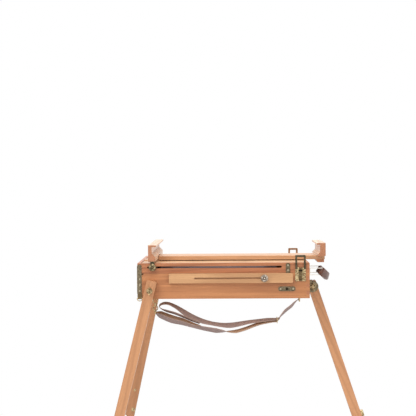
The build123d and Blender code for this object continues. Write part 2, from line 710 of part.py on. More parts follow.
def shoulder_strap():
    """The strap hangs in two slack lengths between a snap hook and a staple under the box."""
    long_length = [(0.005, -46.8), (0.0982, -64), (0.2078, -84), (0.3151, -99), (0.4018, -105),
                   (0.5068, -101), (0.6347, -92), (0.7603, -80), (0.8037, -76), (0.8447, -72),
                   (0.8858, -58), (0.9361, -34), (0.9936, -11)]
    loop_length = [(0.863, -63), (0.8447, -66), (0.8037, -71), (0.7306, -75), (0.6256, -82),
                   (0.5068, -88), (0.4201, -91), (0.347, -86), (0.2466, -62), (0.1553, -36),
                   (0.0868, -18), (0.0525, -15), (0.0342, -21), (0.0502, -29), (0.1096, -38),
                   (0.2009, -56)]
    save("shoulder_strap", ribbon(strap_line(long_length), webbing_thick),
         ribbon(strap_line(loop_length), webbing_thick))
    y = webbing_y
    ring_r = 7.0
    wire_r = 1.6
    x = strap_left
    staple = block(x - 6, x + 6, y - 5, y + 5, -1.5, 0)
    staple += Pos(x, y, -9) * Rot(90, 0, 0) * Torus(ring_r, wire_r)
    staple += rod_z(x, y, -25, -15, 3.2)
    staple += Pos(x, y, -31) * Rot(90, 0, 0) * Torus(ring_r, wire_r)
    buckle = block(x - 1.5, x + 1.5, y - 16, y + 16, -48, -36.5)
    buckle -= block(x - 2, x + 2, y - 13, y + 13, -45.2, -39)
    staple += buckle
    x = strap_right
    right = block(x - 10, x + 10, y - 16, y + 16, -1.5, 0)
    loop = block(x - 1.5, x + 1.5, y - 16, y + 16, -12, -1)
    right += loop - block(x - 2, x + 2, y - 13, y + 13, -9.2, -1.5)
    tab = block(0, strap_width, -half - strap_thick, -half, 3, strap_bottom - 1)
    tab += rod_x(1, strap_width - 1, -half - 3, 2.5, 2.5)
    tab -= rod_x(0, strap_width, -half - 3, 2.5, 1.2 + running)
    x = strap_line([(0.8447, 0)])[0][0]
    frame = block(x - 1, x + 1, y - 17, y + 17, -77, -61.2)
    frame -= block(x - 2, x + 2, y - 13.5, y + 13.5, -74.2, -64.2)
    save("strap_fittings", staple, right, tab, frame)
    ring_y = -half - 3
    bow = Pos(strap_width / 2, ring_y, 2.5) * Rot(90, 0, 0) * Torus(8.0, 1.2)
    bow &= block(-10, 30, ring_y - 5, ring_y + 5, -20, 2.5)
    bow += rod_x(-1, strap_width + 1, ring_y, 2.5, 1.2)
    save("spare_ring", bow)


case_walls()
palette()
drawer()
lid()
hinge_straps()
canvas_rest()
mast()
stays()
latches()
keepers()
front_leg("near", near_leg_lean, False)
front_leg("far", far_leg_lean, True)
rear_leg()
handle()
shoulder_strap()

whole = Compound([solid for solids in nodes.values() for solid in solids]).bounding_box()
frame_shift = Vector(-(whole.min.X + whole.max.X) / 2, -(whole.min.Y + whole.max.Y) / 2, bottom_above_floor)
for name, solids in nodes.items():
    placed = [solid.moved(Location(frame_shift)) for solid in solids]
    export_step(placed[0] if len(placed) == 1 else Compound(placed), f"parts/{name}.step")
print(len(nodes), "nodes; moved by", tuple(frame_shift))
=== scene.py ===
"""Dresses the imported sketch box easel: oiled beech, aged brass, leather, and its shoulder strap."""

import math

import bpy
import numpy as np
from bpy.props import FloatProperty, FloatVectorProperty, PointerProperty
from mathutils import Matrix, Vector


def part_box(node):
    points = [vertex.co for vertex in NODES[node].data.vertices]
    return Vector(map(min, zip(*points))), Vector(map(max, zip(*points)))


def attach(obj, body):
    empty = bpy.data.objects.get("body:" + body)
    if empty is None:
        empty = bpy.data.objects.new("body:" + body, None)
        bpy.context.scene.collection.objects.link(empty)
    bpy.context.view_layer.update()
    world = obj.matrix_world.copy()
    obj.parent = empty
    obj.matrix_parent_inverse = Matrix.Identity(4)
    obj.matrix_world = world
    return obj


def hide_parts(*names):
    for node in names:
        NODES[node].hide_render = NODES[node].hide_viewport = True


bl_info = {
    "name": "Sketch box easel",
    "version": (1, 0, 0),
    "blender": (4, 5, 0),
    "location": "View3D > Sidebar > Easel",
    "description": "Finishes and soft pieces of a sketch box easel on three legs",
    "category": "Object",
}

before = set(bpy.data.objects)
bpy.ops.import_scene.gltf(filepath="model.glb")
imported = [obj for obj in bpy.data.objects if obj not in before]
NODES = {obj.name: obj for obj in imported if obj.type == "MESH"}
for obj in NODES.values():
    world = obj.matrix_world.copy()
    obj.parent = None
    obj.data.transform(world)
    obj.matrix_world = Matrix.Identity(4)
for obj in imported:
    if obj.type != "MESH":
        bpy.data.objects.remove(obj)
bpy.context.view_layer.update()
CASE_LOW, CASE_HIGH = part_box("case_side_walls")
MM = 0.001
BAND_POINTS = 24


def colour(name, text, default):
    """A colour that the user may change."""
    return FloatVectorProperty(name=name, description=text, subtype="COLOR", size=3,
                               min=0, max=1, default=default)


class EaselColours(bpy.types.PropertyGroup):
    beech: colour("Beech", "Oiled beech of the case", (0.555, 0.23, 0.088))
    lid: colour("Lid", "Redder beech of the lid", (0.46, 0.170, 0.068))
    holder: colour("Mast", "Beech of the mast and its foot", (0.66, 0.37, 0.19))
    planed: colour("Planed faces", "Paler faces of the grooved canvas holders", (0.82, 0.58, 0.41))
    end_grain: colour("End grain", "Redder end grain of the cross pieces", (0.42, 0.16, 0.07))
    stay: colour("Stays", "Paler beech of the lid stays", (0.59, 0.315, 0.145))
    leg: colour("Legs", "Beech of the three legs", (0.60, 0.285, 0.13))
    plywood: colour("Plywood", "Sealed plywood of the panels", (0.60, 0.36, 0.19))
    brass: colour("Brass", "Plated brass of knobs, nuts and rings", (0.55, 0.41, 0.225))
    aged: colour("Aged brass", "Dulled brass of straps and plates", (0.235, 0.185, 0.115))
    bronze: colour("Bronze", "Dark bronze of the latch bails", (0.085, 0.072, 0.045))
    steel: colour("Steel", "Dull rails behind the lid's slots", (0.50, 0.40, 0.40))
    nickel: colour("Nickel", "Plated wire of the handle", (0.72, 0.69, 0.62))
    webbing: colour("Webbing", "Upper face of the shoulder strap", (0.29, 0.20, 0.18))
    lining: colour("Lining", "Under face of the shoulder strap", (0.47, 0.29, 0.185))
    grip: colour("Grip", "Leather of the handle", (0.155, 0.066, 0.046))


class EaselSizes(bpy.types.PropertyGroup):
    strap_width: FloatProperty(name="Strap width", description="Width of the shoulder strap",
                               default=0.025, min=0.015, max=0.05, unit="LENGTH")
    strap_thick: FloatProperty(name="Strap thickness", description="Thickness of the shoulder strap",
                               default=0.0024, min=0.001, max=0.005, unit="LENGTH")
    camera_distance: FloatProperty(name="Camera distance",
                                   description="From the near side wall to the camera",
                                   default=3.2, min=1.0, max=10.0, unit="LENGTH")


def colours():
    """The scene's easel colours."""
    return bpy.context.scene.easel_colours


def sizes():
    """The scene's easel sizes."""
    return bpy.context.scene.easel_sizes


def shade(base, factor, warm=0.0):
    """A colour made lighter or darker, and warmer by taking green and blue away."""
    r, g, b = base
    return (min(1, r * factor), min(1, g * factor * (1 - warm)), min(1, b * factor * (1 - 1.6 * warm)), 1)


def toned(base, factor):
    """A base colour made lighter or darker, without its fourth value."""
    return shade(base, factor)[:3]


class Graph:
    """A short way to write a material's nodes and links."""

    def __init__(self, name):
        self.material = bpy.data.materials.new(name)
        self.material.use_nodes = True
        self.nodes = self.material.node_tree.nodes
        self.links = self.material.node_tree.links
        self.nodes.clear()
        self.out = self.nodes.new("ShaderNodeOutputMaterial")
        self.coords = self.nodes.new("ShaderNodeTexCoord").outputs["Object"]
        split = self.nodes.new("ShaderNodeSeparateXYZ")
        self.links.new(self.coords, split.inputs[0])
        self.x, self.y, self.z = split.outputs

    def put(self, socket, value):
        """Link a socket, or set a value."""
        if isinstance(value, bpy.types.NodeSocket):
            self.links.new(value, socket)
        elif value is not None:
            socket.default_value = value

    def mapped(self, scale, turn=(0, 0, 0), move=(0, 0, 0), source=None):
        """Object coordinates, moved, turned and scaled."""
        node = self.nodes.new("ShaderNodeMapping")
        node.vector_type = "POINT"
        self.put(node.inputs["Vector"], source or self.coords)
        self.put(node.inputs["Scale"], scale)
        self.put(node.inputs["Rotation"], turn)
        self.put(node.inputs["Location"], move)
        return node.outputs["Vector"]

    def noise(self, vector, detail=2.0, rough=0.5, distort=0.0):
        """A noise value about 0.5."""
        node = self.nodes.new("ShaderNodeTexNoise")
        for socket, value in (("Vector", vector), ("Scale", 1.0), ("Detail", detail),
                              ("Roughness", rough), ("Distortion", distort)):
            self.put(node.inputs[socket], value)
        return node.outputs["Fac"]

    def bands(self, vector, scale, distort):
        """Soft bands across X."""
        node = self.nodes.new("ShaderNodeTexWave")
        node.bands_direction = "X"
        for socket, value in (("Vector", vector), ("Scale", scale), ("Distortion", distort),
                              ("Detail", 2.0), ("Detail Scale", 1.0)):
            self.put(node.inputs[socket], value)
        return node.outputs["Fac"]

    def rings(self, vector, scale, distort):
        """Growth rings about the X axis."""
        node = self.nodes.new("ShaderNodeTexWave")
        node.wave_type = "RINGS"
        node.rings_direction = "X"
        node.wave_profile = "SIN"
        for socket, value in (("Vector", vector), ("Scale", scale), ("Distortion", distort),
                              ("Detail", 3.0), ("Detail Scale", 0.8), ("Detail Roughness", 0.6)):
            self.put(node.inputs[socket], value)
        return node.outputs["Fac"]

    def cells(self, vector, scale):
        """The distance to the middle of the nearest cell."""
        node = self.nodes.new("ShaderNodeTexVoronoi")
        self.put(node.inputs["Vector"], vector)
        self.put(node.inputs["Scale"], scale)
        return node.outputs["Distance"]

    def math(self, operation, a, b):
        """One arithmetic step."""
        node = self.nodes.new("ShaderNodeMath")
        node.operation = operation
        self.put(node.inputs[0], a)
        self.put(node.inputs[1], b)
        return node.outputs[0]

    def beyond(self, value, low, high):
        """1 where a value lies outside low to high."""
        below = self.math("LESS_THAN", value, low)
        above = self.math("GREATER_THAN", value, high)
        return self.math("MAXIMUM", below, above)

    def within(self, value, centre, reach):
        """1 where a value is nearer to centre than reach."""
        node = self.nodes.new("ShaderNodeMath")
        node.operation = "COMPARE"
        self.put(node.inputs[0], value)
        node.inputs[1].default_value = centre
        node.inputs[2].default_value = reach
        return node.outputs[0]

    def away(self, x, z):
        """The distance in X and Z from a place."""
        a = self.math("SUBTRACT", self.x, x)
        b = self.math("SUBTRACT", self.z, z)
        squares = self.math("ADD", self.math("MULTIPLY", a, a), self.math("MULTIPLY", b, b))
        return self.math("POWER", squares, 0.5)

    def dots(self, places, radius):
        """1 within a radius of any of the places, given in X and Z, with a soft rim."""
        soft = 0.6 * MM
        mask = None
        for x, z in places:
            dot = self.level(self.away(x, z), radius + soft, radius - soft)
            mask = dot if mask is None else self.math("MAXIMUM", mask, dot)
        return mask

    def slots(self, places):
        """0 along a level line through each of the places, and 1 elsewhere."""
        half_width = 0.45 * MM
        mask = None
        for _, z in places:
            line = self.math("SUBTRACT", 1.0, self.within(self.z, z, half_width))
            mask = line if mask is None else self.math("MINIMUM", mask, line)
        return mask

    def ramp(self, value, *stops):
        """A colour ramp through (place, colour) stops."""
        node = self.nodes.new("ShaderNodeValToRGB")
        elements = node.color_ramp.elements
        while len(elements) < len(stops):
            elements.new(0.5)
        for element, (place, tint) in zip(elements, stops):
            element.position = place
            element.color = tint
        self.put(node.inputs[0], value)
        return node.outputs["Color"]

    def level(self, value, low, high, bottom=0.0, top=1.0):
        """A value's range from low to high stretched to bottom to top."""
        node = self.nodes.new("ShaderNodeMapRange")
        for socket, number in (("From Min", low), ("From Max", high), ("To Min", bottom), ("To Max", top)):
            self.put(node.inputs[socket], number)
        self.put(node.inputs["Value"], value)
        return node.outputs["Result"]

    def mix(self, factor, a, b):
        """Two colours mixed."""
        node = self.nodes.new("ShaderNodeMix")
        node.data_type = "RGBA"
        self.put(node.inputs[0], factor)
        self.put(node.inputs[6], a)
        self.put(node.inputs[7], b)
        return node.outputs[2]

    def bump(self, height, strength, distance, below=None):
        """A bumped normal."""
        node = self.nodes.new("ShaderNodeBump")
        self.put(node.inputs["Height"], height)
        self.put(node.inputs["Strength"], strength)
        self.put(node.inputs["Distance"], distance)
        if below:
            self.put(node.inputs["Normal"], below)
        return node.outputs["Normal"]

    def surface(self, **values):
        """The closing shader, with sockets named by words."""
        shader = self.nodes.new("ShaderNodeBsdfPrincipled")
        for name, value in values.items():
            self.put(shader.inputs[name.replace("_", " ")], value)
        self.links.new(shader.outputs[0], self.out.inputs["Surface"])
        return self.material


def beech_finish(name, base, turn=(0, 0, 0), seed=0.0, figure=1.0, ends=None, marks=()):
    """Oiled beech with its grain along X after the turn.

    Growth rings about a slightly tilted axis behind the board give long lines and arches. Fine streaks,
    short dark flecks and slow clouds lie over them. ends names a node that runs along Y and the tint of its
    end grain, and marks are the places of small dark pegs in X and Z.
    """
    g = Graph(name)
    turned = g.mapped((1, 1, 1), turn=turn)
    tilted = g.mapped((1, 1, 1), turn=(0, 0.045, 0.03), move=(seed, 0.115 + 0.013 * seed, -0.83),
                      source=turned)
    rings = g.rings(g.mapped((0.07, 1, 1), source=tilted), 23.0, 6.0)
    shifted = g.mapped((1, 1, 1), move=(seed, seed * 0.7, seed * 1.3), source=turned)
    growth = g.noise(g.mapped((1.5, 24, 24), source=shifted), detail=3, rough=0.55, distort=0.4)
    streak = g.noise(g.mapped((6, 230, 230), source=shifted), detail=3, rough=0.62)
    fleck = g.noise(g.mapped((80, 1500, 1500), source=shifted), detail=1)
    cloud = g.noise(g.mapped((4, 7, 7), source=shifted), detail=2)
    tone = g.math("ADD", g.math("MULTIPLY", growth, 0.55), g.math("MULTIPLY", streak, 0.45))
    spread = 0.15 / figure
    body = g.ramp(tone, (0.5 - spread, shade(base, 0.74, 0.07)), (0.5, shade(base, 1.0)),
                  (0.5 + spread, shade(base, 1.2, -0.04)))
    late = g.level(rings, 0.45, 1.0, 0, 0.62 * figure)
    body = g.mix(late, body, shade(base, 0.62, 0.12))
    body = g.mix(g.level(cloud, 0.35, 0.7, 0, 0.4), body, shade(base, 0.86, 0.05))
    flecks = g.level(fleck, 0.60, 0.74, 0, 0.4)
    body = g.mix(flecks, body, shade(base, 0.5, 0.08))
    if ends:
        node, tint = ends
        low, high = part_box(node)
        end = g.beyond(g.y, low.y + 0.2 * MM, high.y - 0.2 * MM)
        cut = g.mix(g.level(streak, 0.35, 0.65), shade(tint, 0.85), shade(tint, 1.15))
        body = g.mix(g.math("MULTIPLY", end, 0.92), body, cut)
    if marks:
        body = g.mix(g.math("MULTIPLY", g.dots(marks, 1.2 * MM), 0.7), body, shade(base, 0.3, 0.1))
    height = g.math("SUBTRACT", g.math("MULTIPLY", streak, 0.6), flecks)
    return g.surface(Base_Color=body, Roughness=g.level(streak, 0.3, 0.7, 0.40, 0.55),
                     Specular_IOR_Level=0.4, Coat_Weight=0.35, Coat_Roughness=0.22,
                     Normal=g.bump(height, 0.25, 0.0003))


def ply_finish(name, base):
    """Sealed plywood: a broad wavy figure on its faces and thin layers at its edges."""
    g = Graph(name)
    figure = g.bands(g.mapped((2, 22, 22)), 1.0, 6.0)
    streak = g.noise(g.mapped((4, 150, 150)), detail=2)
    tone = g.math("ADD", g.math("MULTIPLY", figure, 0.4), g.math("MULTIPLY", streak, 0.6))
    body = g.ramp(tone, (0.2, shade(base, 0.84, 0.04)), (0.8, shade(base, 1.12)))
    return g.surface(Base_Color=body, Roughness=0.5, Coat_Weight=0.3, Coat_Roughness=0.25,
                     Normal=g.bump(streak, 0.15, 0.0003))


def brass_finish(name, base, age, rough, screws=(), bars=(), scale=(170, 170, 170)):
    """Brass with cloudy tarnish and painted dark reflections, darker in patches, small bright spots of
    painted highlight, and fine rubbed scratches.

    screws are places in X and Z that get a pale rubbed head with a dark slot. bars are darker stripes across
    X, each given as its centre, its reach to either side and its darkness.
    """
    g = Graph(name)
    cloud = g.noise(g.mapped(scale), detail=3, rough=0.6)
    painted_glint_noise = g.noise(g.mapped((420, 420, 420)), detail=2)
    fine = g.noise(g.mapped((1500, 1500, 200)), detail=1)
    # Dark patches: tarnish, and painted dark reflections.
    tarnish_and_painted_reflection = g.level(cloud, 0.42, 0.56, 0, age)
    body = g.mix(tarnish_and_painted_reflection, shade(base, 1.25), shade(base, 0.25, 0.05))
    # Painted highlights: small bright spots.
    body = g.mix(g.level(painted_glint_noise, 0.55, 0.64, 0, 0.6), body, shade(base, 2.1, -0.05))
    for centre, reach, dark in bars:
        body = g.mix(g.math("MULTIPLY", g.within(g.x, centre, reach), dark), body, shade(base, 0.22, 0.15))
    if screws:
        rubbed = (0.62, 0.53, 0.37, 1)
        body = g.mix(g.dots(screws, 3.0 * MM), body, shade(base, 0.35))
        head = g.math("MULTIPLY", g.dots(screws, 2.6 * MM), g.slots(screws))
        body = g.mix(head, body, rubbed)
    return g.surface(Base_Color=body, Metallic=1.0,
                     Roughness=g.level(cloud, 0.3, 0.7, rough, rough + 0.22),
                     Normal=g.bump(fine, 0.12, 0.0002))


def knob_finish(name, base, x, z):
    """Turned brass about an axis along Y, with painted light: a painted highlight on the rim, painted shade
    in the groove and the hollow, and a painted highlight in the middle.
    """
    g = Graph(name)
    out = g.away(x, z)
    cloud = g.noise(g.mapped((330, 330, 330)), detail=2)
    wobble = g.math("ADD", out, g.math("MULTIPLY", g.math("SUBTRACT", cloud, 0.5), 0.0042))
    radius = 12.5 * MM
    # Share of the radius, then how light and how warm the brass is painted there: the bright rings are
    # painted highlights and the dark rings painted shade.
    painted_light_rings = ((0.0, 1.9, -0.1), (0.13, 1.5, 0), (0.22, 0.16, 0.1), (0.42, 0.30, 0.05), (0.50, 1.5, -0.1),
               (0.60, 1.1, 0), (0.70, 0.35, 0.05), (0.80, 1.45, -0.08), (0.95, 0.7, 0))
    rings = g.ramp(g.level(wobble, 0.0, radius), *[(share, shade(base, light, warm))
                                                   for share, light, warm in painted_light_rings])
    # Dark patches: tarnish, and painted dark reflections.
    patch = g.noise(g.mapped((150, 150, 150), move=(x, z, 0.3)), detail=1)
    tarnish_and_painted_reflection = g.level(patch, 0.46, 0.54, 0, 0.8)
    body = g.mix(tarnish_and_painted_reflection, rings, shade(base, 0.22, 0.06))
    return g.surface(Base_Color=body, Metallic=1.0, Roughness=g.level(cloud, 0.3, 0.7, 0.22, 0.4),
                     Normal=g.bump(cloud, 0.2, 0.0003))


def leather_finish(name, base, scale, gloss):
    """Pebbled leather: small cells for the grain, with rubbed paler patches, and painted shade in the pits of
    the grain and in the creases.
    """
    g = Graph(name)
    cell = g.cells(g.mapped((1, 1, 1)), scale)
    worn = g.noise(g.mapped((60, 60, 60)), detail=3)
    crease = g.noise(g.mapped((140, 40, 140)), detail=3, rough=0.6)
    body = g.mix(g.level(worn, 0.45, 0.72, 0, 0.6), shade(base, 0.85), shade(base, 1.7))
    # Painted shade: darker in the pits of the grain and in the valleys of the creases.
    body = g.mix(g.level(cell, 0.1, 0.6, 0.3, 0.0), body, shade(base, 0.5))
    body = g.mix(g.level(crease, 0.36, 0.46, 0.6, 0.0), body, shade(base, 0.42))
    return g.surface(Base_Color=body, Roughness=gloss, Coat_Weight=0.5, Coat_Roughness=0.28,
                     Normal=g.bump(crease, 0.5, 0.0012, below=g.bump(cell, 0.35, 0.0004)))


# Wooden nodes with the name of their colour, by the way their grain runs.
WOOD_ALONG_X = (("case_side_walls", "beech"), ("lid_side_walls", "lid"), ("case_ledges", "beech"),
                ("drawer_walls", "beech"), ("mast_guide", "holder"), ("mast_board", "holder"))
WOOD_ALONG_Y = (("case_end_walls", "beech"), ("lid_end_walls", "lid"), ("drawer_front", "beech"),
                ("canvas_rest", "planed"), ("upper_holder", "planed"), ("mast_foot", "holder"))
PANELS = ("lid_panel", "case_bottom", "drawer_bottom", "drawer_dividers", "palette")
# Words in the names of the nodes in plated brass.
BRIGHT = ("clamp", "plates_", "rivet", "pivots", "bolts", "ring")
SIDES = ("near", "far")
# Area lamps: name, place, size and power.
LAMPS = (("key", (-1.9, -2.6, 2.9), 1.8, 50), ("top", (0.0, -0.3, 3.2), 2.5, 55),
         ("fill", (2.4, -2.2, 1.6), 2.2, 14))


def assign(node, material):
    """Give a CAD node one material."""
    slots = NODES[node].data.materials
    slots.clear()
    slots.append(material)


def leg_turn(node):
    """The turn that lays a leaning leg's grain along X, worked out from its box at rest."""
    low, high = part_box(node)
    lean = math.atan2(high.x - low.x, high.z - low.z)
    side = -1 if "rear" in node else 1
    return (0, math.pi / 2 - side * lean, 0)


def from_case(x, z):
    """A place on the side wall, given in millimetres from the case's left bottom corner."""
    return (CASE_LOW.x + x * MM, CASE_LOW.z + z * MM)


def middle(node):
    """The X and Z of a node's middle."""
    low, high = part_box(node)
    return ((low.x + high.x) / 2, (low.z + high.z) / 2)


class EASEL_OT_wood(bpy.types.Operator):
    """Oiled beech and plywood on the wooden pieces"""
    bl_idname = "easel.wood"
    bl_label = "Wood"

    def execute(self, context):
        c = colours()
        pegs = [from_case(505.5, height) for height in (31.5, 9.0, 54.0)]
        for index, (node, tint) in enumerate(WOOD_ALONG_X):
            marks = pegs if node == "case_side_walls" else ()
            assign(node, beech_finish("beech_" + node, getattr(c, tint), seed=index * 3.1, marks=marks))
        for index, (node, tint) in enumerate(WOOD_ALONG_Y):
            finish = beech_finish("beech_" + node, getattr(c, tint), turn=(0, 0, math.pi / 2),
                                  seed=20 + index * 2.3, ends=(node, c.end_grain))
            assign(node, finish)
        for node in PANELS:
            assign(node, ply_finish("ply_" + node, c.plywood))
        for index, side in enumerate(SIDES):
            bar = beech_finish("beech_stay_" + side, c.stay, seed=40 + index, figure=0.8)
            assign("stay_outer_" + side, bar)
            assign("stay_inner_" + side, beech_finish("beech_strip_" + side, c.stay, seed=43 + index))
        # Painted shade: the far leg and its lower part are painted darker, as if in shadow.
        far_leg_painted_shade = 0.82
        for index, side in enumerate(SIDES + ("rear",)):
            for part in ("leg_", "leg_lower_"):
                node = part + side
                base = tuple(value * (far_leg_painted_shade if side == "far" else 1.0) for value in c.leg)
                finish = beech_finish("beech_" + node, base, turn=leg_turn(node), seed=50 + index * 4.7,
                                      figure=0.6)
                assign(node, finish)
        return {"FINISHED"}


class EASEL_OT_metal(bpy.types.Operator):
    """Aged brass, plated brass, bronze and nickel on the fittings"""
    bl_idname = "easel.metal"
    bl_label = "Metal fittings"

    def execute(self, context):
        c = colours()
        aged = brass_finish("aged_brass", c.aged, 0.7, 0.36)
        bright = brass_finish("plated_brass", c.brass, 0.8, 0.28)
        dulled = brass_finish("dulled_brass", toned(c.brass, 0.8), 0.95, 0.32)
        bronze = brass_finish("dark_bronze", c.bronze, 0.5, 0.38)
        nickel = brass_finish("nickel_wire", c.nickel, 0.1, 0.2)
        far_bail = (0.30, 0.16, 0.075)
        stay_knob = (0.56, 0.46, 0.37)
        inset = 7 * MM
        strap_screws = [from_case(7.0, height) for height in (24.8, 42.4, 60.2)]
        keeper_low, keeper_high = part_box("keeper_plates")
        keeper_z = middle("keeper_plates")[1]
        keeper_screws = [(keeper_low.x + inset, keeper_z), (keeper_high.x - inset, keeper_z)]
        hanger_x = middle("stay_hangers")[0]
        hanger_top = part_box("stay_hangers")[1].z
        hanger_screws = [(hanger_x, hanger_top - drop) for drop in (inset, 22 * MM)]
        latch_bars = [(middle("latch_plates")[0], 5.5 * MM, 0.85)]
        tall = (130, 130, 330)
        own = {
            "stay_hangers": brass_finish("hanger_brass", toned(c.aged, 0.55), 0.4, 0.36,
                                         screws=hanger_screws),
            "strap_fittings": brass_finish("fitting_brass", c.brass, 0.6, 0.3,
                                           bars=[(CASE_LOW.x + inset, 8 * MM, 0.85)]),
            "latch_bail_far": brass_finish("far_bail_brass", far_bail, 0.4, 0.38),
            "hinge_straps": brass_finish("strap_brass", toned(c.aged, 0.8), 0.5, 0.36, screws=strap_screws),
            "keeper_plates": brass_finish("keeper_brass", toned(c.aged, 0.7), 0.5, 0.36,
                                          screws=keeper_screws),
            "latch_plates": brass_finish("latch_plate_brass", c.brass, 0.9, 0.3, bars=latch_bars, scale=tall),
            "latch_catches": brass_finish("catch_brass", c.brass, 0.9, 0.3, bars=latch_bars, scale=tall),
            "rear_bracket": aged,
            "rear_hinge": aged,
        }
        for node in NODES:
            if node in own:
                assign(node, own[node])
            elif node.startswith("leg_nut"):
                assign(node, dulled)
            elif node in ("rest_brackets", "mast_knob") or "bail" in node:
                assign(node, bronze)
            elif node in ("handle_mounts", "handle_stirrups"):
                assign(node, nickel)
            elif node.startswith(("rest_knob", "stay_knob")):
                base = toned(c.brass, 0.75) if "rest" in node else stay_knob
                assign(node, knob_finish(node + "_brass", base, *middle(node)))
            elif any(word in node for word in BRIGHT):
                assign(node, bright)
        return {"FINISHED"}


def surface_object(name, grids, materials, body, upper=0):
    """One mesh from closed tubes of points: each grid is rings by points by 3, capped at both ends.

    The faces at the first upper points of each ring of the first grid take the second material.
    """
    points = []
    faces = []
    start = 0
    for grid in grids:
        rings, around, _ = grid.shape
        points.append(grid.reshape(-1, 3))
        index = start + np.arange(rings * around).reshape(rings, around)
        after = np.roll(index, -1, axis=1)
        quads = np.stack([index[:-1], after[:-1], after[1:], index[1:]], axis=-1).reshape(-1, 4)
        faces += quads.tolist()
        faces.append(index[0][::-1].tolist())
        faces.append(index[-1].tolist())
        start += rings * around
    mesh = bpy.data.meshes.new(name)
    mesh.from_pydata(np.concatenate(points).tolist(), [], faces)
    mesh.validate()
    mesh.update()
    mesh.shade_smooth()
    piece = bpy.data.objects.new(name, mesh)
    bpy.context.scene.collection.objects.link(piece)
    for finish in materials:
        mesh.materials.append(finish)
    rings, around, _ = grids[0].shape
    for face in mesh.polygons[:(rings - 1) * around]:
        face.material_index = int(face.index % around < upper)
    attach(piece, body)
    return piece


def smooth_line(points, count):
    """A Catmull-Rom spline through the points: count places evenly spaced by length, and its length."""
    p = np.asarray(points, float)
    p = np.vstack([2 * p[0] - p[1], p, 2 * p[-1] - p[-2]])
    t = np.linspace(0, len(p) - 3, 40 * len(p))
    i = np.minimum(t.astype(int), len(p) - 4)
    u = (t - i)[:, None]
    a, b, c, d = p[i], p[i + 1], p[i + 2], p[i + 3]
    line = 0.5 * (2 * b + (c - a) * u + (2 * a - 5 * b + 4 * c - d) * u**2 + (3 * b - a - 3 * c + d) * u**3)
    run = np.concatenate([[0], np.cumsum(np.linalg.norm(np.diff(line, axis=0), axis=1))])
    even = np.linspace(0, run[-1], count)
    return np.stack([np.interp(even, run, line[:, k]) for k in range(line.shape[1])], axis=1), run[-1]


def band(line, twist, width, thick):
    """A flat band along a line, with a rounded section. Its width starts along Y and turns by twist.

    The first half of the BAND_POINTS around each ring is the band's upper side. A power below 1 squares the
    section off.
    """
    square = 0.25
    ahead = np.gradient(line, axis=0)
    ahead /= np.linalg.norm(ahead, axis=1, keepdims=True)
    across = np.tile([0.0, 1.0, 0.0], (len(line), 1))
    across -= ahead * np.sum(across * ahead, axis=1, keepdims=True)
    across /= np.linalg.norm(across, axis=1, keepdims=True)
    up = np.cross(ahead, across)
    turn = np.asarray(twist)[:, None]
    wide = across * np.cos(turn) + up * np.sin(turn)
    high = -across * np.sin(turn) + up * np.cos(turn)
    angle = np.linspace(0, 2 * math.pi, BAND_POINTS, endpoint=False)
    side = np.sign(np.cos(angle)) * np.abs(np.cos(angle)) ** square * width / 2
    rise = np.sign(np.sin(angle)) * np.abs(np.sin(angle)) ** square * thick / 2
    return line[:, None] + wide[:, None] * side[None, :, None] + high[:, None] * rise[None, :, None]


def under_case(points, y):
    """Strap points given in millimetres from the case's left bottom corner, placed in the frame."""
    left = CASE_LOW.x
    bottom = CASE_LOW.z
    return [(left + x * MM, y, bottom + z * MM) for x, z in points]


def webbing_finish(name, base):
    """A worn woven band with slow stains and a fine weave."""
    g = Graph(name)
    weave = g.noise(g.mapped((700, 1400, 700)), detail=1)
    worn = g.noise(g.mapped((30, 60, 30)), detail=2)
    body = g.mix(g.level(worn, 0.4, 0.7, 0, 0.5), shade(base, 0.9), shade(base, 1.3))
    return g.surface(Base_Color=body, Roughness=0.6, Normal=g.bump(weave, 0.3, 0.0003))


